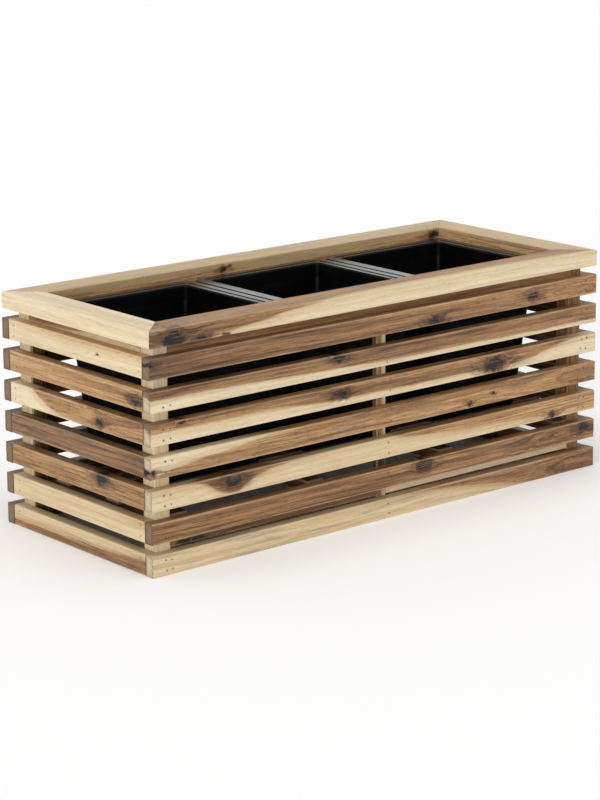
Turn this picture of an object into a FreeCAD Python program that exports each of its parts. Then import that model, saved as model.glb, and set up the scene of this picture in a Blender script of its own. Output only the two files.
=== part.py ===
import FreeCAD, Part
import math
import os

# A slatted timber trough that stands on the floor and holds three plastic pots, dropped in from above.
# Millimetres. X runs along the trough, Y from its front to its back, Z up from the ground.
# The origin is on the ground, in the middle of the trough.

# Timber frame: overall sizes and the stock it is cut from
length = 1000.0
width = 410.0
height = 400.0
slat_count = 7
slat_height = 35.0
slat_thickness = 20.0
top_gap = 15.0
slat_end_gap = 0.5
slat_round = 2.0
arris = 1.0
top_rail_width = 54.0
top_rail_thickness = 29.0
top_rail_round = 3.0
mitre_gap = 0.2
post_size = 30.0
mid_post_width = 20.0
mid_post_depth = 12.0
upper_rail_height = 35.0
upper_rail_thickness = 20.0

# Base: long rails between the posts, bars across them, and boards along the bars
bottom_rail_lift = 37.0
bottom_rail_height = 35.0
bottom_rail_thickness = 20.0
cross_bar_width = 35.0
cross_bar_thickness = 20.0
floor_board_width = 35.0
floor_board_thickness = 20.0
floor_board_spacing = 140.0
floor_board_end_gap = 0.5

# Pots: moulded, with a flat rim turned down outside and stepped down inside
pot_names = ("left", "middle", "right")
pot_clearance = 3.0
pot_rim_drop = 20.0
pot_rim_round = 22.0
pot_flange_width = 12.0
pot_flange_thickness = 3.0
pot_skirt_depth = 14.0
pot_step_width = 10.5
pot_step_depth = 1.2
pot_step_round = 13.0
pot_wall = 3.0
pot_corner_round = 12.0
pot_collar_depth = 26.0
pot_collar_step = 1.5
pot_taper = 21.5
pot_foot_width = 20.0
pot_foot_height = 4.0

# Shared by every cut and comparison
overrun = 5.0
coincidence = 0.0001

# Places worked out from the sizes above
half_length = length / 2
half_width = width / 2
rail_underside = height - top_rail_thickness
slat_pitch = (rail_underside - top_gap - slat_height) / (slat_count - 1)
post_outer_x = half_length - slat_thickness
post_outer_y = half_width - slat_thickness
post_inner_x = post_outer_x - post_size
post_inner_y = post_outer_y - post_size
upper_rail_underside = rail_underside - upper_rail_height
bottom_rail_top = bottom_rail_lift + bottom_rail_height
cross_bar_top = bottom_rail_top + cross_bar_thickness
floor_top = cross_bar_top + floor_board_thickness
pot_count = len(pot_names)
pot_cell = (length - 2 * top_rail_width) / pot_count

along_x = FreeCAD.Vector(1, 0, 0)
along_y = FreeCAD.Vector(0, 1, 0)
along_z = FreeCAD.Vector(0, 0, 1)
long_sides = {"front": -1, "back": 1}
short_sides = {"left": -1, "right": 1}
nodes = {}


def reach(side, inner, outer):
    """The stretch from inner to outer, both measured from the middle towards the given side."""
    return sorted((side * inner, side * outer))


def rise(edge, grain):
    """How far an edge's two ends lie apart along the grain."""
    first, last = edge.Vertexes[0].Point, edge.Vertexes[-1].Point
    return abs(last.sub(first).dot(grain))


def long_edges(shape, grain):
    """The edges that run straight along the grain."""
    return [edge for edge in shape.Edges if rise(edge, grain) > edge.Length - coincidence]


def blank(x_span, y_span, z_span):
    """A square-cut length of timber that fills the three spans."""
    low, high = (FreeCAD.Vector(*corner) for corner in zip(x_span, y_span, z_span))
    size = high.sub(low)
    return Part.makeBox(size.x, size.y, size.z, low)


def slat(x_span, y_span, z_span, grain, outward):
    """A planed slat: the long edges of its outer face are rounded, and those of its back only eased."""
    timber = blank(x_span, y_span, z_span)
    middle = timber.CenterOfMass.dot(outward)
    face_edges = [edge for edge in long_edges(timber, grain) if edge.CenterOfMass.dot(outward) > middle]
    timber = timber.makeFillet(slat_round, face_edges)
    back_edges = [edge for edge in long_edges(timber, grain) if edge.CenterOfMass.dot(outward) < middle]
    return timber.makeChamfer(arris, back_edges)


def batten(x_span, y_span, z_span, grain):
    """A sawn batten from behind the slats, with the sharp edge taken off along the grain."""
    timber = blank(x_span, y_span, z_span)
    return timber.makeChamfer(arris, long_edges(timber, grain))


def mitred_rail(half_run, half_across, side, grain):
    """One board of the flat top frame, on the given side of the middle, cut at 45 degrees at both ends."""
    outer_end = half_run - mitre_gap
    inner_end = outer_end - top_rail_width
    outer = side * half_across
    inner = side * (half_across - top_rail_width)
    plan = [(-outer_end, outer), (outer_end, outer), (inner_end, inner), (-inner_end, inner)]
    if grain == along_y:
        plan = [(across, run) for run, across in plan]
    corners = [FreeCAD.Vector(x, y, rail_underside) for x, y in plan]
    rail = Part.Face(Part.makePolygon(corners + corners[:1])).extrude(along_z * top_rail_thickness)
    return rail.makeFillet(top_rail_round, long_edges(rail, grain))


def make_top_frame():
    """Four mitred rails lie flat on the posts and carry the outline of the trough."""
    for name, side in long_sides.items():
        nodes["top_rail_" + name] = mitred_rail(half_length, half_width, side, along_x)
    for name, side in short_sides.items():
        nodes["top_rail_" + name] = mitred_rail(half_width, half_length, side, along_y)


def make_posts():
    """A post stands in each corner behind the slats, and one in the middle of each long side."""
    for long_name, long_side in long_sides.items():
        post_y = reach(long_side, post_inner_y, post_outer_y)
        for short_name, short_side in short_sides.items():
            post_x = reach(short_side, post_inner_x, post_outer_x)
            name = f"corner_post_{long_name}_{short_name}"
            nodes[name] = batten(post_x, post_y, (0, rail_underside), along_z)
        mid_x = (-mid_post_width / 2, mid_post_width / 2)
        mid_y = reach(long_side, post_outer_y - mid_post_depth, post_outer_y)
        nodes["mid_post_" + long_name] = batten(mid_x, mid_y, (0, upper_rail_underside), along_z)


def make_slats():
    """Slat 1 is the top one. The long slats run the full length, and the short ones fit between them."""
    short_half = half_width - slat_thickness - slat_end_gap
    for number in range(1, slat_count + 1):
        low = (slat_count - number) * slat_pitch
        z_span = (low, low + slat_height)
        for name, side in long_sides.items():
            run, across = (-half_length, half_length), reach(side, post_outer_y, half_width)
            nodes[f"{name}_slat_{number}"] = slat(run, across, z_span, along_x, along_y * side)
        for name, side in short_sides.items():
            run, across = (-short_half, short_half), reach(side, post_outer_x, half_length)
            nodes[f"{name}_slat_{number}"] = slat(across, run, z_span, along_y, along_x * side)


def make_upper_rails():
    """A rail on edge joins the tops of the posts on each side, just under the top frame."""
    z_span = (upper_rail_underside, rail_underside)
    for name, side in long_sides.items():
        across = reach(side, post_outer_y - upper_rail_thickness, post_outer_y)
        nodes["upper_rail_" + name] = batten((-post_inner_x, post_inner_x), across, z_span, along_x)
    for name, side in short_sides.items():
        across = reach(side, post_outer_x - upper_rail_thickness, post_outer_x)
        nodes["upper_rail_" + name] = batten(across, (-post_inner_y, post_inner_y), z_span, along_y)


def make_base():
    """Rails between the posts carry bars across the trough, and the bars carry two boards for the pots."""
    rail_z = (bottom_rail_lift, bottom_rail_top)
    for long_name, long_side in long_sides.items():
        across = reach(long_side, post_outer_y - bottom_rail_thickness, post_outer_y)
        for short_name, short_side in short_sides.items():
            run = reach(short_side, mid_post_width / 2, post_inner_x)
            nodes[f"bottom_rail_{long_name}_{short_name}"] = batten(run, across, rail_z, along_x)

    bar_z = (bottom_rail_top, cross_bar_top)
    end_centre = post_inner_x - cross_bar_width / 2
    centres = [-end_centre]
    centres += [(number - pot_count / 2) * pot_cell for number in range(1, pot_count)]
    centres += [end_centre]
    for number, centre in enumerate(centres, 1):
        bar_x = (centre - cross_bar_width / 2, centre + cross_bar_width / 2)
        nodes[f"cross_bar_{number}"] = batten(bar_x, (-post_outer_y, post_outer_y), bar_z, along_y)

    board_z = (cross_bar_top, floor_top)
    board_end = post_outer_x - floor_board_end_gap
    for name, side in long_sides.items():
        middle = floor_board_spacing / 2
        across = reach(side, middle - floor_board_width / 2, middle + floor_board_width / 2)
        nodes["floor_board_" + name] = batten((-board_end, board_end), across, board_z, along_x)


def rounded_outline(half_x, half_y, radius, z):
    """A level rectangle with rounded corners: four arcs, each joined to the next by a straight side."""
    arcs = []
    for quarter, (sign_x, sign_y) in enumerate(((1, 1), (-1, 1), (-1, -1), (1, -1))):
        centre = FreeCAD.Vector(sign_x * (half_x - radius), sign_y * (half_y - radius), z)
        angles = [math.radians(turn) for turn in (90 * quarter, 90 * quarter + 45, 90 * quarter + 90)]
        points = [centre + FreeCAD.Vector(math.cos(a), math.sin(a), 0) * radius for a in angles]
        arcs.append(Part.Arc(*points).toShape())
    edges = []
    for arc, next_arc in zip(arcs, arcs[1:] + arcs[:1]):
        edges += [arc, Part.makeLine(arc.Vertexes[-1].Point, next_arc.Vertexes[0].Point)]
    return Part.Wire(edges)


def straight_block(half_x, half_y, radius, bottom, top):
    """An upright block with rounded corners."""
    return Part.Face(rounded_outline(half_x, half_y, radius, bottom)).extrude(along_z * (top - bottom))


def tapered_block(half_x, half_y, radius, taper, bottom, top):
    """A block of the given size at its top whose flat sides lean in to its bottom, rounded below its top."""
    low_x = half_x - taper
    low_y = half_y - taper
    block = Part.makeWedge(-low_x, bottom, -low_y, -half_y, -half_x, low_x, top, low_y, half_y, half_x)
    block.rotate(FreeCAD.Vector(0, 0, 0), along_x, 90)
    return block.makeFillet(radius, [edge for edge in block.Edges if edge.BoundBox.ZMin < top - coincidence])


def make_pot():
    """One pot, about the middle of its cell: tapered body, collar, stepped rim, skirt and raised base."""
    rim_top = height - pot_rim_drop
    ledge = rim_top - pot_step_depth
    shoulder = ledge - pot_collar_depth
    rim_x = pot_cell / 2 - pot_clearance
    rim_y = half_width - top_rail_width - pot_clearance
    step_x = rim_x - pot_flange_width
    step_y = rim_y - pot_flange_width
    inner_x = step_x - pot_step_width
    inner_y = step_y - pot_step_width
    inner_round = pot_corner_round - pot_wall
    body_top = ledge - pot_wall

    # outside: body up to the shoulder, collar up to the rim, then the rim itself with its skirt hollowed out
    body = tapered_block(inner_x + pot_wall - pot_collar_step, inner_y + pot_wall - pot_collar_step,
                         pot_corner_round, pot_taper, floor_top, shoulder)
    collar = straight_block(inner_x + pot_wall, inner_y + pot_wall, pot_corner_round,
                            shoulder - pot_wall, ledge)
    neck = straight_block(step_x + pot_wall, step_y + pot_wall, pot_step_round + pot_wall, body_top, rim_top)
    rim = straight_block(rim_x, rim_y, pot_rim_round, rim_top - pot_skirt_depth, rim_top)
    under_rim = straight_block(rim_x - pot_wall, rim_y - pot_wall, pot_rim_round - pot_wall,
                               rim_top - pot_skirt_depth - overrun, rim_top - pot_flange_thickness)
    outside = rim.cut(under_rim).fuse([body, collar, neck])

    # inside: the tapered hollow, the wider collar above it and the shallow step below the flange
    hollow = tapered_block(inner_x - pot_collar_step, inner_y - pot_collar_step,
                           inner_round, pot_taper, floor_top + pot_wall, shoulder)
    wide_hollow = straight_block(inner_x, inner_y, inner_round, shoulder, rim_top + overrun)
    step = straight_block(step_x, step_y, pot_step_round, ledge, rim_top + overrun)

    # the middle of the base is raised, so that the pot stands on the edge of its base
    recess_x = inner_x - pot_collar_step - pot_taper - pot_foot_width
    recess_y = inner_y - pot_collar_step - pot_taper - pot_foot_width
    panel_x = recess_x + pot_wall
    panel_y = recess_y + pot_wall
    recess_top = floor_top + pot_foot_height
    recess = blank((-recess_x, recess_x), (-recess_y, recess_y), (floor_top - overrun, recess_top))
    panel = blank((-panel_x, panel_x), (-panel_y, panel_y), (floor_top, recess_top + pot_wall))

    shell = outside.cut([hollow, wide_hollow, step]).fuse(panel).cut(recess)
    return shell.removeSplitter()


def make_pots():
    """The pots stand in a row on the floor boards, one to a cell of the opening in the top frame."""
    pot = make_pot()
    for number, name in enumerate(pot_names):
        placed = pot.copy()
        placed.translate(along_x * ((number - (pot_count - 1) / 2) * pot_cell))
        nodes["pot_" + name] = placed


make_top_frame()
make_posts()
make_slats()
make_upper_rails()
make_base()
make_pots()

os.makedirs("parts", exist_ok=True)
for node_name, shape in nodes.items():
    shape.exportStep(f"parts/{node_name}.step")
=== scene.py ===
"""Looks of a slatted acacia trough with three black pots: oiled wood, pin nails, moulded plastic, a studio.

Metres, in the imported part's own frame: X along the trough, Y from its front to its back, Z up.
"""
import math

import bpy
import numpy as np
from mathutils import Matrix, Vector


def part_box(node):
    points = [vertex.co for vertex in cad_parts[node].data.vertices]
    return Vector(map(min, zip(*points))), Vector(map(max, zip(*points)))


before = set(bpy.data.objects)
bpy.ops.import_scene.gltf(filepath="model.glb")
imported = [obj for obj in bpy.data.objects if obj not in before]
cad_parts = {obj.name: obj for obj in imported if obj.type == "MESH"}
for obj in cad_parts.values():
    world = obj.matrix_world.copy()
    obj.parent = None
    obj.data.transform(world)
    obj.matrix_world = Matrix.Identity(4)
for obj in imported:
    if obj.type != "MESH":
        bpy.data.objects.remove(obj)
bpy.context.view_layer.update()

MM = 0.001

# Camera: the photograph is 600 by 800 pixels. The lens and the place were fitted to the trough's corners.
# The rise shifts the picture, which keeps upright lines nearly parallel. Angles are in degrees.
# The sensor is 36 mm along the picture's height.
IMAGE_HEIGHT = 800
FOCAL_PIXELS = 2554.6
RISE_PIXELS = 75
CAMERA_PLACE = (-2.7927, -3.3041, 1.2737)
CAMERA_YAW = 39.971
CAMERA_PITCH = 12.656
CAMERA_ROLL = 0.353
SENSOR = 36.0

# Studio: white paper, the light that the white surround gives, and two lamps.
# A lamp is its strength, its spread in degrees and the way it shines.
PAPER_WHITE = "#ffffff"
PAPER_ROUGHNESS = 0.9
FLOOR_HALF = 40.0
SURROUND_LIGHT = 0.55
LAMPS = {
    "low_lamp": (1.55, 30, (0.66, 0.47, -0.12)),
    "top_lamp": (1.14, 60, (0.1, 0.1, -1)),
}

# Pot plastic: dull walls with faint dust, and glossy rims, whose lighter colour is a painted highlight.
# Dust lies in patches of about 60 mm. The mould's skin is drawn at 1.5 mm so that it shows.
POT_WALL, POT_DUST, POT_RIM_HIGHLIGHT = "#020202", "#070707", "#2e2d2c"
RIM_STARTS, RIM_FULL = 374 * MM, 378 * MM
DUST_PER_METRE, SKIN_PER_METRE = 17, 670
DUST_STARTS, DUST_FULL = 0.45, 0.75
WALL_ROUGHNESS, RIM_ROUGHNESS, DUST_ROUGHNESS = 0.4, 0.22, 0.12
RIM_GLOSS, RIM_GLOSS_ROUGHNESS = 0.6, 0.25
PLASTIC_IOR, PLASTIC_SPECULAR = 1.5, 0.12
SKIN_DEPTH, SKIN_STRENGTH = 0.1 * MM, 0.12

# Wood colours as they look in even light: heartwood from its dark streaks to its pale tan, and sapwood
HEART_SHADES = ((0.0, "#3f2a1a"), (0.25, "#644429"), (0.5, "#8a6440"), (0.75, "#ab8053"), (1.0, "#c9a273"))
SAP_SHADES = ((0.0, "#b69971"), (0.35, "#d1b991"), (0.65, "#e0ccaa"), (1.0, "#ecdfc6"))
# the streak brown also lays the painted shade into the joints and rims of the sawn ends
STREAK_AND_SHADE_BROWN, STREAK_GREY = "#38271a", "#8d8171"
KNOT_BROWN, KNOT_BLACK, KNOT_FLECK = "#4a2c17", "#120d0a", "#7d5a3a"
END_HEART, END_SAP, END_DARK = "#846c54", "#ccba9c", "#5f4a39"
# the worn edge colour is partly wear and partly a painted highlight on the eased edges
WORN_AND_HIGHLIT_EDGE, PORE, PIN_STEEL, PIN_STAIN = "#e3d2b4", "#3a2819", "#3c362f", "#4b3d31"
# Where a board of tone 0 lies between the darkest and the palest of its shades
HEART_MIDDLE, SAP_MIDDLE = 0.595, 0.44
# What the figures add to a shade, and what a board's tones, the halos of knots and the tan bands take from it
SHADE_START, SHADE_WEIGHTS = -0.4, {"fibres": 1.0, "bands": 0.5, "late": -0.2}
HEART_TONE, HEART_HALO = -0.9, -0.3
SAP_TONE, SAP_SHADE, SAP_TAN = -0.6, 0.7, -0.5

# Oiled wood: the low sheen of its faces, how deep its grain stands, and what the figures add to both
WOOD_IOR, WOOD_SPECULAR = 1.5, 0.35
WOOD_ROUGHNESS, ROUGHNESS_WEIGHTS = 0.4, {"fibres": 0.2, "ends": 0.25}
GRAIN_DEPTH, GRAIN_STRENGTH = 0.4 * MM, 0.35
HEIGHT_WEIGHTS = {"bands": 0.5, "pores": -0.5, "pins": -1}
PIN_METALLIC = 0.8

# Figures of the wood: how many fit in a metre along, across and out of the board, their finer detail and its
# roughness, and the span of values over which a figure comes up, where it is marked off from the rest
FIGURES = {
    # the wander of the grain, over a third of a metre
    "wander": ((3.2, 9, 9), 1, 0.5, None),
    # fibres, drawn 2.5 mm wide and 70 mm long so that they show
    "fibres": ((14, 400, 400), 3, 0.6, None),
    # lumps of about 5 mm, which make the knots ragged
    "lumps": ((130, 210, 210), 3, 0.65, None),
    # growth bands about 9 mm wide and 400 mm long
    "bands": ((2.4, 110, 75), 5, 0.66, None),
    # mineral streaks about 4 mm wide and a third of a metre long
    "streaks": ((3, 220, 150), 3, 0.6, (0.54, 0.64)),
    # a grey cast in broader streaks, about 8 mm wide and 170 mm long
    "grey": ((6, 120, 80), 3, 0.6, (0.48, 0.7)),
    # open pores, drawn 1.2 mm wide and 12 mm long so that they show
    "pores": ((80, 800, 800), 1, 0.5, (0.55, 0.68)),
}
# The grain wanders up and down by a few millimetres. Yearly lines lie about 10 mm apart, wave with the bands,
# and are dark over this share of a year to either side.
GRAIN_WANDER = 16 * MM
YEARS_PER_METRE, YEARS_WAVE, LATE_SHARE = 95, 1.6, 0.16
BANDS_START, BANDS_FULL = 0.3, 0.7
# How far each figure frays the line between heartwood and sapwood, to one side
EDGE_FRAYS = {"wander": 12 * MM, "bands": 4 * MM, "fibres": 9 * MM}
# Behind that line the heartwood sets in over 5 mm, a little paler at first. Before it the sapwood turns.
HEART_STARTS, HEART_FULL = -2 * MM, 3 * MM
PALE_REACH, PALE_LIFT = 12 * MM, 0.08
TURN_REACH = 14 * MM
# Streaks go on more weakly into the turning sapwood, and pores show more in the heartwood.
STREAKS_IN_SAP = 0.6
PORES_IN_SAP, PORES_IN_HEART = 0.15, 0.45
# Wear and a painted highlight on the long edges: how strong they are, where they are full and where they are
# gone
EDGE_WEAR_AND_HIGHLIGHT, EDGE_PALE_FULL, EDGE_PALE_GONE = 0.45, 0.5 * MM, 3 * MM
# Sawn ends: growth rings about 3 mm apart round a pith outside the board, and painted shade in the joint and
# on the rim, with the reach it has
RINGS_PER_METRE, RINGS_WANDER = 330, 30 * MM
RINGS_START, RINGS_FULL, RINGS_DARK = 0.4, 0.8, 0.5
PITH = (0, -45 * MM, -30 * MM)
JOINT_SHADE, JOINT_SHADE_REACH = 0.95, 4 * MM
END_RIM_SHADE, END_RIM_SHADE_REACH = 0.8, 7 * MM
# A face is a sawn end from here on, by how squarely it faces along the grain
END_STARTS, END_FULL = 0.6, 0.9

# Knots, arches and the dark halos of knots are ovals, longer along the grain by one over their squeeze.
# Bends of about 15 mm push the knots out of round. The zones of a knot are given in knot sizes out from
# its middle: where each is full, and where it is gone.
KNOT_SQUEEZE, ARCH_SQUEEZE, HALO_SQUEEZE = 0.6, 0.13, 0.3
BENDS_PER_METRE = 65
KNOT_PUSH = (26 * MM, 16 * MM, 0)
KNOT_ZONES = {"core": (1.4, 1.62), "ring": (1.5, 2.2), "halo": (1.0, 2.1)}
KNOT_LUMPS, HALO_FIBRES = 1.5, 0.8
RING_STRENGTH = 1.3
FLECKS_START, FLECKS_FULL = 0.56, 0.66
# The grain is closed by this much up to the first distance, in sizes too, and runs straight from the second.
GRAIN_CLOSES, CLOSED_TO, STRAIGHT_FROM = 0.95, 0.7, 2.6

# How each board was cut from its log. Places are in millimetres from the board's middle, along and across.
# The edge is the line between heartwood and sapwood, with heartwood above it, or below it if heart is -1.
# The line is drawn on the outer face, and the lean is how far it moves for each millimetre out of the board.
# The fade is how much darker the heartwood grows from the middle of the board to its far end.
# Knots and arches are (along, across, size). An arch is where the growth rings close in a long oval.
EVERY_CUT = {"tone": 0.5, "fade": 0, "sap_tone": 0.15, "streaks": 0.4, "grey": 0.1, "heart": 1, "lean": 0.4,
             "edge": ((0, -30),), "knots": (), "arch": None}
CUTS = {
    "front_slat_1": {"tone": 0.47, "fade": -0.2, "grey": 0.3, "arch": (445, -3, 12),
                     "knots": ((103, -11, 9), (341, 0, 9), (-500, 7, 5))},
    "front_slat_2": {"tone": 0.48, "fade": -0.1, "sap_tone": -0.1, "grey": 0.25, "knots": ((-112, 12, 8),),
                     "edge": ((-500, 4), (-310, 0), (-150, -3), (0, -7), (125, -8), (310, -11), (500, -14))},
    "front_slat_3": {"tone": 0.38, "sap_tone": 0.05, "knots": ((-437, 13, 5), (-107, 4, 9), (247, -1, 14)),
                     "edge": ((-500, 4), (-375, 2), (-220, -1), (-125, -7), (0, -8), (125, -10), (310, -7),
                              (375, 4), (440, 12), (500, 15))},
    "front_slat_4": {"tone": 0.22, "grey": 0.25, "heart": -1, "arch": (470, 0, 13),
                     "knots": ((187, -8, 5), (244, 0, 3), (-498, -6, 5)),
                     "edge": ((-500, -14), (-375, 4), (-310, 10), (-220, 17), (-100, 28), (500, 30))},
    "front_slat_5": {"tone": 0.4, "fade": -0.3, "sap_tone": 0.4, "knots": ((-337, 4, 10), (394, -10, 7)),
                     "edge": ((-500, 20), (-430, 18), (-395, 11), (-355, -8), (-335, -12), (-312, -5),
                              (-275, 10), (-200, 18), (0, 18), (30, 13), (125, 5), (250, -1), (375, -10),
                              (500, -13))},
    "front_slat_6": {"tone": 0.42, "streaks": 0.7, "arch": (430, 4, 10),
                     "knots": ((81, 9, 10), (469, 5, 9), (306, -16, 3))},
    "front_slat_7": {"tone": 0.45, "sap_tone": 0.5, "grey": 0.6, "arch": (470, -2, 15),
                     "edge": ((-500, 28), (-60, 22), (80, 13), (200, 1), (300, -12), (380, -24), (500, -34))},
    "left_slat_1": {"tone": -0.1, "sap_tone": 0.2, "streaks": 0.1, "knots": ((68, 0, 2),),
                    "edge": ((-205, 19), (-60, 13), (60, 10), (205, 12))},
    "left_slat_2": {"tone": 0.12, "fade": 0.1, "streaks": 0.2, "knots": ((168, -3, 9),)},
    "left_slat_3": {"tone": 0.3, "knots": ((70, -4, 7),), "arch": (-60, 6, 14),
                    "edge": ((-205, 26), (-140, 24), (-100, 6), (-60, -8), (0, -15), (60, -20), (205, -30))},
    "left_slat_4": {"tone": 0.58, "grey": 0.35, "streaks": 0.7},
    "left_slat_5": {"tone": 0.3, "knots": ((68, 11, 11),)},
    "left_slat_6": {"tone": 0.1, "sap_tone": 0.5, "edge": ((-205, 30), (40, 27), (150, 15), (205, 12))},
    "left_slat_7": {"tone": 0.5, "sap_tone": 0.5, "heart": -1, "edge": ((-205, -5), (0, -1), (205, 7))},
    "top_rail_front": {"tone": 0.4, "lean": -0.4, "grey": 0.2,
                       "knots": ((-452, -3, 15), (-396, -12, 7), (-345, -14, 4)),
                       "edge": ((-500, -17), (-406, -14.5), (-330, -6), (-250, 2), (-125, 14.5), (0, 18),
                                (500, 18))},
    "top_rail_left": {"sap_tone": 0.1, "edge": ((0, 32),)},
    "top_rail_back": {"tone": 0.06, "sap_tone": 1, "grey": 0.5, "heart": -1, "lean": -0.4,
                      "knots": ((-70, 3, 6), (430, 2, 8)),
                      "edge": ((-500, 9), (-300, 3), (-150, 8), (50, -4), (250, 1), (500, 6))},
    "top_rail_right": {"tone": 0.05, "sap_tone": 0.9, "grey": 0.4, "heart": -1, "lean": -0.4, "streaks": 0.6,
                       "edge": ((-205, 2), (0, 9), (205, 5))},
    "corner_post_front_left": {"sap_tone": 0.1, "edge": ((0, 50),)},
    "corner_post_back_left": {"tone": 0.7, "lean": 0, "heart": -1, "edge": ((0, 10),)},
    "corner_post_front_right": {"tone": 0.52, "streaks": 0.2},
    "mid_post_front": {"tone": 0.45, "lean": 0, "edge": ((0, 0),), "knots": ((-71, 2, 12),)},
    "upper_rail_front": {"tone": 0.4},
    "upper_rail_left": {"edge": ((-155, 1), (-40, 3), (30, 10), (155, 8))},
    "bottom_rail_front_left": {"knots": ((-192, -10, 9), (-164, -13, 11))},
    "bottom_rail_front_right": {"edge": ((0, 50),)},
    "cross_bar_1": {"tone": 0.9},
    "cross_bar_2": {"tone": 0.8},
    "cross_bar_3": {"tone": 0.9},
    "cross_bar_4": {"tone": 0.8},
    # The back and right slats, seen only from the trough's shaded inside, have darker tones that are partly
    # painted shade.
    "back_slat_1": {"tone": 0.6, "knots": ((-210, 3, 8),)},
    "back_slat_2": {"tone": 0.7, "grey": 0.2, "knots": ((130, -6, 10), (400, 8, 6))},
    "back_slat_3": {"tone": 0.55, "knots": ((-350, 2, 9),), "arch": (60, 2, 12)},
    "back_slat_4": {"tone": 0.75, "streaks": 0.7},
    "back_slat_5": {"tone": 0.7, "knots": ((260, 4, 10), (-90, -9, 5))},
    "back_slat_6": {"tone": 0.6, "grey": 0.3, "arch": (-300, 0, 12)},
    "back_slat_7": {"tone": 0.7, "knots": ((20, 6, 8),)},
    "right_slat_2": {"tone": 0.75},
    "right_slat_3": {"tone": 0.6, "knots": ((-40, 5, 9),)},
    "right_slat_4": {"tone": 0.7},
    "right_slat_5": {"tone": 0.65, "grey": 0.3},
    "right_slat_6": {"tone": 0.8, "knots": ((90, -4, 8),)},
    "floor_board_front": {"tone": 0.8},
    "floor_board_back": {"tone": 0.85},
}
# The curve that holds an edge line runs from 0 to 1, for this many millimetres to either side of the middle.
EDGE_REACH = 60

# Boards without a cut of their own get one by chance: the level of the edge line, how much its ends differ,
# and the knots' places (a share of the length, and millimetres across) and sizes. The last value is where in
# the noise a board's own pattern begins.
CHANCE_SEED = 7
CHANCE_LEVELS, CHANCE_ODDS = (-30.0, -8.0, 0.0, 8.0, 26.0), (0.4, 0.15, 0.15, 0.1, 0.2)
CHANCE_TILT, LINE_END = 6, 500
CHANCE_KNOT_PLACE, CHANCE_KNOT_SIZES = np.array((0.42, 12)), (4, 11)
CHANCE_PATTERN = (1, 9)

# Pin nails in mirrored pairs, in millimetres: how far they lie from the middle of the slat, along and across,
# and the radius of their heads
PINS_LONG_SLAT = ((473, 9, 1), (460, 8, 0.7), (0, 9, 0.8))
PINS_SHORT_SLAT = ((170, 9, 0.6),)
PINS = {"front_slat": PINS_LONG_SLAT, "back_slat": PINS_LONG_SLAT,
        "left_slat": PINS_SHORT_SLAT, "right_slat": PINS_SHORT_SLAT}
# Each pin lies off its mark by up to half of this, along and across. Stain spreads round its head.
PINS_OFF_MARK = (30 * MM, 12 * MM, 0)
STAIN, STAIN_REACH = 0.6, 2 * MM
HEAD_BLUR = 0.1 * MM

# What the shared pattern of the wood is told about a board. A knot, arch or pin that it lacks is put far off.
KNOT_SOCKETS = ("knot 1", "knot 2", "knot 3")
PIN_SOCKETS = ("pins 1", "pins 2", "pins 3")
PLACE_SOCKETS = ("point", "half", "seed", *KNOT_SOCKETS, "arch", *PIN_SOCKETS)
CUT_SOCKETS = ("tone", "fade", "sap_tone", "streaks", "grey", "heart", "lean")
FAR_OFF = Vector((9, 9, MM))

# The way each board faces: its direction across and its direction out, which give the way its grain runs
X, Y, Z = Vector((1, 0, 0)), Vector((0, 1, 0)), Vector((0, 0, 1))
FACINGS = {
    "front_slat": (Z, -Y), "back_slat": (Z, Y), "left_slat": (Z, -X), "right_slat": (Z, X),
    "top_rail_front": (Z, -Y), "top_rail_back": (Z, -Y), "top_rail_left": (Z, -X), "top_rail_right": (Z, -X),
    "corner_post": (-X, -Y), "mid_post": (-X, -Y),
    "upper_rail_front": (Z, -Y), "upper_rail_back": (Z, Y),
    "upper_rail_left": (Z, -X), "upper_rail_right": (Z, X),
    "bottom_rail": (Z, -Y), "cross_bar": (X, Z), "floor_board": (Y, Z),
}

SMOOTH = {"interpolation_type": "SMOOTHSTEP"}


def linear(code):
    """An sRGB hex colour as linear red, green, blue and alpha: each channel goes through the sRGB curve."""
    channels = [int(code[place:place + 2], 16) / 255 for place in (1, 3, 5)]
    return tuple(c / 12.92 if c <= 0.04045 else ((c + 0.055) / 1.055) ** 2.4 for c in channels) + (1.0,)


def add(tree, kind, inputs, stops=(), curve=(), **settings):
    """Adds a node with its settings, colour stops or curve points, values and links; gives its outputs.

    Sockets go by name or number. On Map Range, 1 and 2 are the span that is read, 3 and 4 what it becomes.
    On Mix, 0 is the share of the second thing. The two things are 2 and 3, or 6 and 7 where they are colours.
    """
    node = tree.nodes.new(kind if kind.startswith("NodeGroup") else "ShaderNode" + kind)
    for name, value in settings.items():
        setattr(node, name, value)
    for place, code in stops[2:]:
        node.color_ramp.elements.new(place)
    for element, (place, code) in zip(node.color_ramp.elements if stops else (), stops):
        element.position = place
        element.color = linear(code)
    if curve:
        for place in curve[2:]:
            node.mapping.curves[0].points.new(*place)
        for point, place in zip(node.mapping.curves[0].points, curve):
            point.location = place
        node.mapping.update()
    for socket, value in inputs.items():
        if isinstance(value, bpy.types.NodeSocket):
            tree.links.new(value, node.inputs[socket])
        else:
            node.inputs[socket].default_value = value
    return node.outputs


def weighed_sum(tree, start, *terms):
    """A value or pattern plus other patterns, each times its weight."""
    total = start
    for pattern, weight in terms:
        total = add(tree, "Math", {0: pattern, 1: weight, 2: total}, operation="MULTIPLY_ADD")[0]
    return total


def terms_of(wood, weights):
    """The wood's own patterns with the weights that a table gives them, as terms of a weighed sum."""
    return [(wood[name], weight) for name, weight in weights.items()]


def laid_over(tree, colour, *marks):
    """A colour with marks laid over it in turn: each is an amount, and a hex colour or a coloured pattern."""
    for amount, tint in marks:
        under, over = (linear(one) if isinstance(one, str) else one for one in (colour, tint))
        colour = add(tree, "Mix", {0: amount, 6: under, 7: over}, data_type="RGBA")[2]
    return colour


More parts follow.
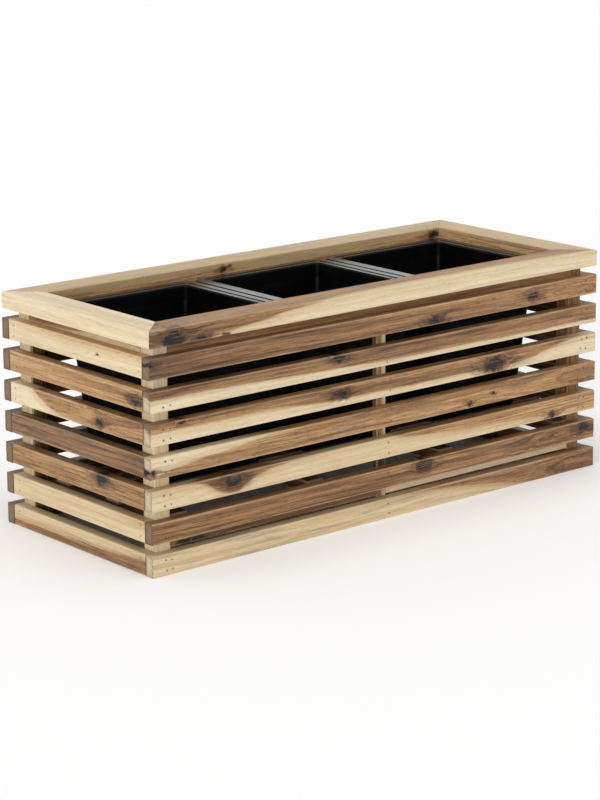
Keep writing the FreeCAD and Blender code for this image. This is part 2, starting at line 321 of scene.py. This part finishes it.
def figure(tree, place, name):
    """One figure of the wood: noise of its listed size, which comes up over its listed span of values."""
    counts, detail, roughness, span = FIGURES[name]
    place = add(tree, "VectorMath", {0: place, 1: counts}, operation="MULTIPLY")[0]
    noise = add(tree, "TexNoise", {"Vector": place, "Scale": 1, "Detail": detail, "Roughness": roughness})[0]
    return add(tree, "MapRange", {0: noise, 1: span[0], 2: span[1]}, **SMOOTH)[0] if span else noise


def oval_distance(tree, offset, squeeze):
    """How far a point lies from the middle of an oval: the length of its offset, squeezed along the grain."""
    oval = add(tree, "VectorMath", {0: offset, 1: (squeeze, 1, 0)}, operation="MULTIPLY")[0]
    return add(tree, "VectorMath", {0: oval}, operation="LENGTH")[1]


def plain_grain(tree, given):
    """The grain of a board before its knots: where a point lies, and the grain's wander, fibres and lumps."""
    wood = {}
    wood["along"], wood["across"], wood["out"] = add(tree, "SeparateXYZ", {0: given["point"]})
    wood["seeded"] = add(tree, "VectorMath", {0: given["point"], 1: given["seed"]}, operation="ADD")[0]
    for name in ("wander", "fibres", "lumps"):
        wood[name] = figure(tree, wood["seeded"], name)
    wood["cross"] = weighed_sum(tree, wood["across"], (wood["wander"], GRAIN_WANDER))
    return wood


def knots_and_arch(tree, given, wood):
    """Closes the grain round the knots and the arch, and finds the core, ring and halo of the knots.

    A point lies out from a knot by its oval distance over the knot's size. Lumps make the core and the ring
    ragged. The halo, the darker wood round a knot, runs off along the grain and is frayed by the fibres.
    """
    push = add(tree, "TexNoise", {"Vector": wood["seeded"], "Scale": BENDS_PER_METRE, "Detail": 2})["Color"]
    push = add(tree, "VectorMath", {0: push, 1: (0.5, 0.5, 0.5)}, operation="SUBTRACT")[0]
    bent = add(tree, "VectorMath", {0: push, 1: KNOT_PUSH, 2: given["point"]}, operation="MULTIPLY_ADD")[0]
    closing = {1: CLOSED_TO, 2: STRAIGHT_FROM, 3: GRAIN_CLOSES, 4: 0}
    wood.update(dict.fromkeys(KNOT_ZONES, 0.0))
    for name in (*KNOT_SOCKETS, "arch"):
        size = add(tree, "SeparateXYZ", {0: given[name]})[2]
        offset = add(tree, "VectorMath", {0: bent, 1: given[name]}, operation="SUBTRACT")[0]
        distance = oval_distance(tree, offset, ARCH_SQUEEZE if name == "arch" else KNOT_SQUEEZE)
        sizes_out = add(tree, "Math", {0: distance, 1: size}, operation="DIVIDE")[0]
        near = add(tree, "MapRange", {0: sizes_out} | closing, **SMOOTH)[0]
        wood["cross"] = add(tree, "Mix", {0: near, 2: wood["cross"], 3: distance})[0]
        if name == "arch":
            wood["arched"] = near
            continue
        ragged = weighed_sum(tree, sizes_out, (wood["lumps"], KNOT_LUMPS))
        distance = oval_distance(tree, offset, HALO_SQUEEZE)
        sizes_out = add(tree, "Math", {0: distance, 1: size}, operation="DIVIDE")[0]
        frayed = weighed_sum(tree, sizes_out, (wood["fibres"], HALO_FIBRES))
        for zone, (full, gone) in KNOT_ZONES.items():
            lies_out = frayed if zone == "halo" else ragged
            mark = add(tree, "MapRange", {0: lies_out, 1: full, 2: gone, 3: 1, 4: 0}, **SMOOTH)[0]
            wood[zone] = add(tree, "Math", {0: mark, 1: wood[zone]}, operation="MAXIMUM")[0]


def growth_bands(tree, given, wood):
    """The growth bands, which follow the grain round its knots, and the thin dark line after each year."""
    flow = add(tree, "CombineXYZ", {0: wood["along"], 1: wood["cross"], 2: wood["out"]})[0]
    wood["flow"] = add(tree, "VectorMath", {0: flow, 1: given["seed"]}, operation="ADD")[0]
    bands = figure(tree, wood["flow"], "bands")
    years = weighed_sum(tree, bands, (wood["cross"], YEARS_PER_METRE), (bands, YEARS_WAVE))
    years = add(tree, "Math", {0: years, 1: 0.5}, operation="PINGPONG")[0]
    wood["late"] = add(tree, "MapRange", {0: years, 1: 0, 2: LATE_SHARE, 3: 1, 4: 0}, **SMOOTH)[0]
    wood["bands"] = add(tree, "MapRange", {0: bands, 1: BANDS_START, 2: BANDS_FULL})[0]


def heart_line(tree, given, wood):
    """Heartwood lies behind the edge line, which leans through the board and is frayed along the grain.

    The depth behind the line is below zero in the sapwood. Half of the frays' reach is taken off again, so
    that they lie evenly to both sides.
    """
    half_out = add(tree, "SeparateXYZ", {0: given["half"]})[2]
    behind = add(tree, "Math", {0: wood["out"], 1: half_out}, operation="SUBTRACT")[0]
    depth = weighed_sum(tree, wood["across"], (behind, given["lean"]), *terms_of(wood, EDGE_FRAYS))
    depth = add(tree, "Math", {0: depth, 1: given["edge"]}, operation="SUBTRACT")[0]
    depth = add(tree, "Math", {0: depth, 1: sum(EDGE_FRAYS.values()) / 2}, operation="SUBTRACT")[0]
    depth = add(tree, "Math", {0: depth, 1: given["heart"]}, operation="MULTIPLY")[0]
    heart = add(tree, "MapRange", {0: depth, 1: HEART_STARTS, 2: HEART_FULL}, **SMOOTH)[0]
    wood["heart"] = add(tree, "Math", {0: heart, 1: wood["halo"]}, operation="MAXIMUM")[0]
    wood["pale"] = add(tree, "MapRange", {0: depth, 1: 0, 2: PALE_REACH, 3: PALE_LIFT, 4: 0})[0]
    wood["turning"] = add(tree, "MapRange", {0: depth, 1: -TURN_REACH, 2: 0})[0]


def two_woods(tree, given, wood):
    """The colours of heartwood and sapwood: their shades follow the fibres, the bands and the yearly lines.

    The tone of the heartwood changes along the board by its fade. The sapwood has tan bands, more of them
    towards the heartwood.
    """
    shade = weighed_sum(tree, SHADE_START, *terms_of(wood, SHADE_WEIGHTS))
    half_along = add(tree, "SeparateXYZ", {0: given["half"]})[0]
    share = add(tree, "Math", {0: wood["along"], 1: half_along}, operation="DIVIDE")[0]
    tone = weighed_sum(tree, given["tone"], (share, given["fade"]))
    heart_shade = weighed_sum(tree, shade, (tone, HEART_TONE), (wood["halo"], HEART_HALO))
    for lift in (wood["pale"], HEART_MIDDLE):
        heart_shade = add(tree, "Math", {0: heart_shade, 1: lift}, operation="ADD")[0]
    tan = add(tree, "Math", {0: wood["turning"], 1: wood["bands"]}, operation="MULTIPLY")[0]
    sap_terms = ((given["sap_tone"], SAP_TONE), (shade, SAP_SHADE), (tan, SAP_TAN))
    sap_shade = weighed_sum(tree, SAP_MIDDLE, *sap_terms)
    heartwood = add(tree, "ValToRGB", {0: heart_shade}, stops=HEART_SHADES)[0]
    sapwood = add(tree, "ValToRGB", {0: sap_shade}, stops=SAP_SHADES)[0]
    return laid_over(tree, sapwood, (wood["heart"], heartwood))


def mineral_streaks(tree, given, wood):
    """Brown streaks in the heartwood, which thin out into the sapwood, and a grey cast outside the arch."""
    reach = add(tree, "Math", {0: wood["turning"], 1: STREAKS_IN_SAP}, operation="MULTIPLY")[0]
    reach = add(tree, "Math", {0: reach, 1: wood["heart"]}, operation="MAXIMUM")[0]
    outside = add(tree, "Math", {0: 1.0, 1: wood["arched"]}, operation="SUBTRACT")[0]
    marks = []
    for name, limit, colour in (("streaks", reach, STREAK_AND_SHADE_BROWN), ("grey", outside, STREAK_GREY)):
        amount = figure(tree, wood["flow"], name)
        amount = add(tree, "Math", {0: amount, 1: given[name]}, operation="MULTIPLY")[0]
        amount = add(tree, "Math", {0: amount, 1: limit}, operation="MULTIPLY")[0]
        marks.append((amount, colour))
    return marks


def open_pores(tree, wood):
    """Open pores, which show more in the heartwood."""
    wood["pores"] = figure(tree, wood["seeded"], "pores")
    pitted = add(tree, "MapRange", {0: wood["heart"], 3: PORES_IN_SAP, 4: PORES_IN_HEART})[0]
    pitted = add(tree, "Math", {0: wood["pores"], 1: pitted}, operation="MULTIPLY")[0]
    return [(pitted, PORE)]


def knot_marks(tree, wood):
    """Knots: frayed brown rings round a black core with tan flecks."""
    ring = add(tree, "Math", {0: wood["ring"], 1: wood["fibres"]}, operation="MULTIPLY")[0]
    ring = add(tree, "Math", {0: ring, 1: RING_STRENGTH}, operation="MULTIPLY", use_clamp=True)[0]
    flecks = add(tree, "MapRange", {0: wood["fibres"], 1: FLECKS_START, 2: FLECKS_FULL})[0]
    core = laid_over(tree, KNOT_BLACK, (flecks, KNOT_FLECK))
    return [(ring, KNOT_BROWN), (wood["core"], core)]


def worn_and_highlit_edges(tree, given, wood):
    """The eased long edges, a little paler within 3 mm of both faces: partly wear, partly painted highlight.
    """
    inset = add(tree, "VectorMath", {0: given["point"]}, operation="ABSOLUTE")[0]
    inset = add(tree, "VectorMath", {0: given["half"], 1: inset}, operation="SUBTRACT")[0]
    wood["insets"] = add(tree, "SeparateXYZ", {0: inset})
    corner = add(tree, "Math", {0: wood["insets"][1], 1: wood["insets"][2]}, operation="MAXIMUM")[0]
    # painted highlight along the long edges, mixed with their wear
    wear_and_highlight = add(tree, "MapRange", {0: corner, 1: EDGE_PALE_FULL, 2: EDGE_PALE_GONE, 3: EDGE_WEAR_AND_HIGHLIGHT, 4: 0})[0]
    wear_and_highlight = add(tree, "Math", {0: wear_and_highlight, 1: wood["bands"]}, operation="MULTIPLY")[0]
    return [(wear_and_highlight, WORN_AND_HIGHLIT_EDGE)]


def sawn_ends(tree, given, wood):
    """Sawn ends: greyer, with growth rings. The distance from the pith, with some wander, gives the rings.

    Painted shade sits in the joint at the back of a sawn end, drawn 4 mm wide to show, and lightly on its
    rim.
    """
    pith = add(tree, "VectorMath", {0: given["point"], 1: PITH}, operation="SUBTRACT")[0]
    pith = add(tree, "VectorMath", {0: pith, 1: (0, 1, 1)}, operation="MULTIPLY")[0]
    radius = add(tree, "VectorMath", {0: pith}, operation="LENGTH")[1]
    radius = weighed_sum(tree, radius, (wood["wander"], RINGS_WANDER))
    turns = add(tree, "Math", {0: radius, 1: RINGS_PER_METRE}, operation="MULTIPLY")[0]
    rings = add(tree, "TexNoise", {"W": turns, "Scale": 1, "Detail": 2}, noise_dimensions="1D")[0]
    rings = add(tree, "MapRange", {0: rings, 1: RINGS_START, 2: RINGS_FULL, 4: RINGS_DARK})[0]
    half_out = add(tree, "SeparateXYZ", {0: given["half"]})[2]
    # painted shade: darker towards the joint behind the sawn end, and in blotches along the end's rim
    joint = add(tree, "Math", {0: wood["out"], 1: half_out}, operation="ADD")[0]
    end_shade = add(tree, "MapRange", {0: joint, 1: 0, 2: JOINT_SHADE_REACH, 3: JOINT_SHADE, 4: 0})[0]
    rim = add(tree, "Math", {0: wood["insets"][1], 1: wood["insets"][2]}, operation="MINIMUM")[0]
    rim = add(tree, "MapRange", {0: rim, 1: 0, 2: END_RIM_SHADE_REACH, 3: END_RIM_SHADE, 4: 0})[0]
    rim = add(tree, "Math", {0: rim, 1: wood["lumps"]}, operation="MULTIPLY")[0]
    end_shade = add(tree, "Math", {0: end_shade, 1: rim}, operation="MAXIMUM")[0]
    sawn = laid_over(tree, END_SAP, (wood["heart"], END_HEART), (rings, END_DARK), (wood["core"], KNOT_BLACK),
                     (end_shade, STREAK_AND_SHADE_BROWN))
    wood["ends"] = add(tree, "MapRange", {0: given["end"], 1: END_STARTS, 2: END_FULL})[0]
    return [(wood["ends"], sawn)]


def pin_nails(tree, given, wood):
    """Pin nails: flat steel heads in mirrored pairs, each a little off its mark, in a dark iron stain.

    The board is folded about its middle, so that one place serves four pins.
    """
    off = add(tree, "Math", {0: wood["wander"], 1: 0.5}, operation="SUBTRACT")[0]
    off = add(tree, "CombineXYZ", {0: off, 1: off})[0]
    moved = {0: off, 1: PINS_OFF_MARK, 2: given["point"]}
    folded = add(tree, "VectorMath", moved, operation="MULTIPLY_ADD")[0]
    folded = add(tree, "VectorMath", {0: folded}, operation="ABSOLUTE")[0]
    gap = 1.0
    for name in PIN_SOCKETS:
        head = add(tree, "SeparateXYZ", {0: given[name]})[2]
        offset = add(tree, "VectorMath", {0: folded, 1: given[name]}, operation="SUBTRACT")[0]
        to_head = add(tree, "Math", {0: oval_distance(tree, offset, 1), 1: head}, operation="SUBTRACT")[0]
        gap = add(tree, "Math", {0: to_head, 1: gap}, operation="MINIMUM")[0]
    stain = add(tree, "MapRange", {0: gap, 1: 0, 2: STAIN_REACH, 3: STAIN, 4: 0}, **SMOOTH)[0]
    wood["pins"] = add(tree, "MapRange", {0: gap, 1: -HEAD_BLUR, 2: HEAD_BLUR, 3: 1, 4: 0})[0]
    return [(stain, PIN_STAIN), (wood["pins"], PIN_STEEL)]


def acacia_wood():
    """The shared pattern of planed and oiled acacia: two woods, growth bands, knots, sawn ends and pins.

    Everything is worked out from a point of the board, measured along, across and out of it. The bands are
    noise drawn out along the grain. Near a knot or an arch the way across gives way to the distance from its
    middle, so that the bands close round it in ovals. The oil leaves a low sheen, a little less where the
    fibres stand open and least on the sawn ends.
    """
    tree = bpy.data.node_groups.new("planed_oiled_acacia", "ShaderNodeTree")
    for name in PLACE_SOCKETS:
        tree.interface.new_socket(name, in_out="INPUT", socket_type="NodeSocketVector")
    for name in ("end", "edge", *CUT_SOCKETS):
        tree.interface.new_socket(name, in_out="INPUT", socket_type="NodeSocketFloat")
    for name in ("Color", "Metallic", "Roughness", "Height"):
        kind = "NodeSocketColor" if name == "Color" else "NodeSocketFloat"
        tree.interface.new_socket(name, in_out="OUTPUT", socket_type=kind)
    given = add(tree, "NodeGroupInput", {})

    wood = plain_grain(tree, given)
    knots_and_arch(tree, given, wood)
    growth_bands(tree, given, wood)
    heart_line(tree, given, wood)
    colour = laid_over(tree, two_woods(tree, given, wood),
                       *mineral_streaks(tree, given, wood),
                       *open_pores(tree, wood),
                       *knot_marks(tree, wood),
                       *worn_and_highlit_edges(tree, given, wood),
                       *sawn_ends(tree, given, wood),
                       *pin_nails(tree, given, wood))
    metallic = add(tree, "Math", {0: wood["pins"], 1: PIN_METALLIC}, operation="MULTIPLY")[0]
    roughness = weighed_sum(tree, WOOD_ROUGHNESS, *terms_of(wood, ROUGHNESS_WEIGHTS))
    height = weighed_sum(tree, wood["fibres"], *terms_of(wood, HEIGHT_WEIGHTS))
    add(tree, "NodeGroupOutput", {"Color": colour, "Metallic": metallic,
                                  "Roughness": roughness, "Height": height})
    return tree


def any_cut(chance, length):
    """A cut for a board without one of its own: heartwood, sapwood or some of both, and up to two knots."""
    level = chance.choice(CHANCE_LEVELS, p=CHANCE_ODDS)
    places = chance.uniform(-CHANCE_KNOT_PLACE, CHANCE_KNOT_PLACE, (2, 2))
    sizes = chance.uniform(*CHANCE_KNOT_SIZES, 2)
    knots = [(share * length, across, size) for (share, across), size in zip(places, sizes)]
    return {"tone": chance.uniform(0.25, 0.6),
            "sap_tone": chance.uniform(0.0, 0.4),
            "grey": chance.uniform(0.1, 0.3),
            "heart": int(chance.choice((-1, 1))) if abs(level) < 20 else 1,
            "edge": ((-LINE_END, level + chance.uniform(-CHANCE_TILT, CHANCE_TILT)),
                     (0, level),
                     (LINE_END, level + chance.uniform(-CHANCE_TILT, CHANCE_TILT))),
            "knots": knots[:chance.integers(0, 3)]}


def edge_line(tree, point, half_along, spots):
    """The line between heartwood and sapwood, as its height at a point: a curve through spots along it."""
    share = add(tree, "SeparateXYZ", {0: point})[0]
    share = add(tree, "MapRange", {0: share, 1: -half_along, 2: half_along})[0]
    line = [(min(max(0.5 + spot * MM / (2 * half_along), 0), 1), 0.5 + level / (2 * EDGE_REACH))
            for spot, level in spots]
    if len(line) == 1:
        line = [(0, line[0][1]), (1, line[0][1])]
    edge = add(tree, "FloatCurve", {"Value": share}, curve=line)[0]
    return add(tree, "MapRange", {0: edge, 3: -EDGE_REACH * MM, 4: EDGE_REACH * MM})[0]


def empty_material(name):
    """A new material with no nodes in it yet."""
    material = bpy.data.materials.new(name)
    material.use_nodes = True
    material.node_tree.nodes.clear()
    return material


def acacia_board(node, wood, chance):
    """Planed and oiled acacia on one board: the shared pattern, turned to its grain and told its own cut."""
    low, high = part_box(node)
    family = max((name for name in FACINGS if node.startswith(name)), key=len)
    across, out = FACINGS[family]
    along = across.cross(out)
    turn = Matrix((along, across, out))
    centre = turn @ ((low + high) / 2)
    half = Vector([abs(size) / 2 for size in turn @ (high - low)])
    cut = EVERY_CUT | (CUTS[node] if node in CUTS else any_cut(chance, 2 * half.x / MM))
    seed = Vector(chance.uniform(*CHANCE_PATTERN, 3))
    pins = PINS.get(family, ())

    material = empty_material("planed_oiled_acacia_" + node)
    tree = material.node_tree
    place = add(tree, "TexCoord", {})["Object"]
    point = add(tree, "Mapping", {"Vector": place, "Location": -centre, "Rotation": turn.to_euler()})[0]
    normal = add(tree, "NewGeometry", {})["Normal"]
    end = add(tree, "VectorMath", {0: normal, 1: along}, operation="DOT_PRODUCT")[1]
    end = add(tree, "Math", {0: end}, operation="ABSOLUTE")[0]
    told = {"point": point, "half": half, "seed": seed, "end": end,
            "edge": edge_line(tree, point, half.x, cut["edge"])}
    told |= {name: cut[name] for name in CUT_SOCKETS}
    spots = {"arch": cut["arch"]} | dict(zip(KNOT_SOCKETS, cut["knots"])) | dict(zip(PIN_SOCKETS, pins))
    for name in ("arch", *KNOT_SOCKETS, *PIN_SOCKETS):
        told[name] = Vector(spots[name]) * MM if spots.get(name) else FAR_OFF
    pattern = add(tree, "Group", told, node_tree=wood)
    bump = add(tree, "Bump", {"Height": pattern["Height"],
                              "Strength": GRAIN_STRENGTH, "Distance": GRAIN_DEPTH})[0]
    surface = add(tree, "BsdfPrincipled", {"Base Color": pattern["Color"], "Roughness": pattern["Roughness"],
                                           "Metallic": pattern["Metallic"] if pins else 0.0, "Normal": bump,
                                           "IOR": WOOD_IOR, "Specular IOR Level": WOOD_SPECULAR})[0]
    add(tree, "OutputMaterial", {"Surface": surface})
    return material


def moulded_polypropylene():
    """Black polypropylene from a mould with a finely eroded skin.

    To the eye it is nearly black and dull on the walls, with faint dust. The rims have a clear gloss, which
    catches the white surround, over a lighter black that is a painted highlight.
    """
    material = empty_material("moulded_black_polypropylene")
    tree = material.node_tree
    place = add(tree, "TexCoord", {})["Object"]
    dust = add(tree, "TexNoise", {"Vector": place, "Scale": DUST_PER_METRE,
                                  "Detail": 4, "Roughness": 0.65})[0]
    dust = add(tree, "MapRange", {0: dust, 1: DUST_STARTS, 2: DUST_FULL}, **SMOOTH)[0]
    skin = add(tree, "TexNoise", {"Vector": place, "Scale": SKIN_PER_METRE, "Detail": 2})[0]
    bump = add(tree, "Bump", {"Height": skin, "Strength": SKIN_STRENGTH, "Distance": SKIN_DEPTH})[0]
    height = add(tree, "SeparateXYZ", {0: place})[2]
    # the rims' lighter colour is a painted highlight; their clear gloss and lower roughness are the plastic's
    # own
    rim_highlight_and_gloss = add(tree, "MapRange", {0: height, 1: RIM_STARTS, 2: RIM_FULL}, **SMOOTH)[0]
    colour = laid_over(tree, POT_WALL, (dust, POT_DUST), (rim_highlight_and_gloss, POT_RIM_HIGHLIGHT))
    gloss = add(tree, "Math", {0: rim_highlight_and_gloss, 1: RIM_GLOSS}, operation="MULTIPLY")[0]
    roughness = add(tree, "MapRange", {0: rim_highlight_and_gloss, 3: WALL_ROUGHNESS, 4: RIM_ROUGHNESS})[0]
    roughness = weighed_sum(tree, roughness, (dust, DUST_ROUGHNESS))
    surface = add(tree, "BsdfPrincipled", {"Base Color": colour, "Roughness": roughness, "Normal": bump,
                                           "IOR": PLASTIC_IOR, "Specular IOR Level": PLASTIC_SPECULAR,
                                           "Coat Weight": gloss, "Coat Roughness": RIM_GLOSS_ROUGHNESS,
                                           "Coat IOR": PLASTIC_IOR})[0]
    add(tree, "OutputMaterial", {"Surface": surface})
    return material


def dress_nodes():
    """Every board gets its own cut of the wood, and the pots share one plastic."""
    wood = acacia_wood()
    plastic = moulded_polypropylene()
    chance = np.random.default_rng(CHANCE_SEED)
    for name, node in sorted(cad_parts.items()):
        node.data.materials.clear()
        node.data.materials.append(plastic if name.startswith("pot") else acacia_board(name, wood, chance))


def make_camera():
    """The photograph's camera: yaw and pitch give the way it looks, and it is rolled about that."""
    yaw, pitch, roll = (math.radians(angle) for angle in (CAMERA_YAW, CAMERA_PITCH, CAMERA_ROLL))
    forward = Vector((math.sin(yaw) * math.cos(pitch), math.cos(yaw) * math.cos(pitch), -math.sin(pitch)))
    level = Vector((math.cos(yaw), -math.sin(yaw), 0))
    down = forward.cross(level)
    right = level * math.cos(roll) + down * math.sin(roll)
    up = level * math.sin(roll) - down * math.cos(roll)
    data = bpy.data.cameras.new("camera")
    data.sensor_width = SENSOR
    data.lens = SENSOR * FOCAL_PIXELS / IMAGE_HEIGHT
    data.shift_y = -RISE_PIXELS / IMAGE_HEIGHT
    camera = bpy.data.objects.new("camera", data)
    turn = Matrix((right, up, -forward)).transposed()
    camera.matrix_world = Matrix.Translation(CAMERA_PLACE) @ turn.to_4x4()
    bpy.context.scene.collection.objects.link(camera)
    bpy.context.scene.camera = camera


def make_surround():
    """A white surround: it lights the trough softly, and the camera and the gloss see it as white."""
    world = bpy.data.worlds.new("studio")
    bpy.context.scene.world = world
    world.use_nodes = True
    tree = world.node_tree
    tree.nodes.clear()
    rays = add(tree, "LightPath", {})
    seen = add(tree, "Math", {0: rays["Is Camera Ray"], 1: rays["Is Glossy Ray"]}, operation="MAXIMUM")[0]
    seen = add(tree, "Math", {0: seen, 1: rays["Is Transmission Ray"]}, operation="MAXIMUM")[0]
    strength = add(tree, "MapRange", {0: seen, 3: SURROUND_LIGHT, 4: 1})[0]
    sky = add(tree, "Background", {"Color": linear(PAPER_WHITE), "Strength": strength})[0]
    add(tree, "OutputWorld", {"Surface": sky})


def make_floor():
    """A wide floor of matt white paper, which shows no gloss and keeps the trough's shadow."""
    paper = empty_material("matt_white_paper")
    tree = paper.node_tree
    surface = add(tree, "BsdfPrincipled", {"Base Color": linear(PAPER_WHITE),
                                           "Roughness": PAPER_ROUGHNESS})[0]
    add(tree, "OutputMaterial", {"Surface": surface})
    mesh = bpy.data.meshes.new("floor")
    corners = [(x * FLOOR_HALF, y * FLOOR_HALF, 0) for x, y in ((-1, -1), (1, -1), (1, 1), (-1, 1))]
    mesh.from_pydata(corners, [], [(0, 1, 2, 3)])
    mesh.materials.append(paper)
    floor = bpy.data.objects.new("floor", mesh)
    bpy.context.scene.collection.objects.link(floor)


def make_lamps():
    """Two soft lamps, so far off that they light evenly: a low one from the front left and one from above."""
    for name, (strength, spread, heading) in LAMPS.items():
        data = bpy.data.lights.new(name, "SUN")
        data.angle = math.radians(spread)
        data.energy = strength
        lamp = bpy.data.objects.new(name, data)
        lamp.rotation_euler = Vector(heading).to_track_quat("-Z", "Y").to_euler()
        bpy.context.scene.collection.objects.link(lamp)


dress_nodes()
make_camera()
make_surround()
make_floor()
make_lamps()
bpy.context.scene.view_settings.view_transform = "Standard"
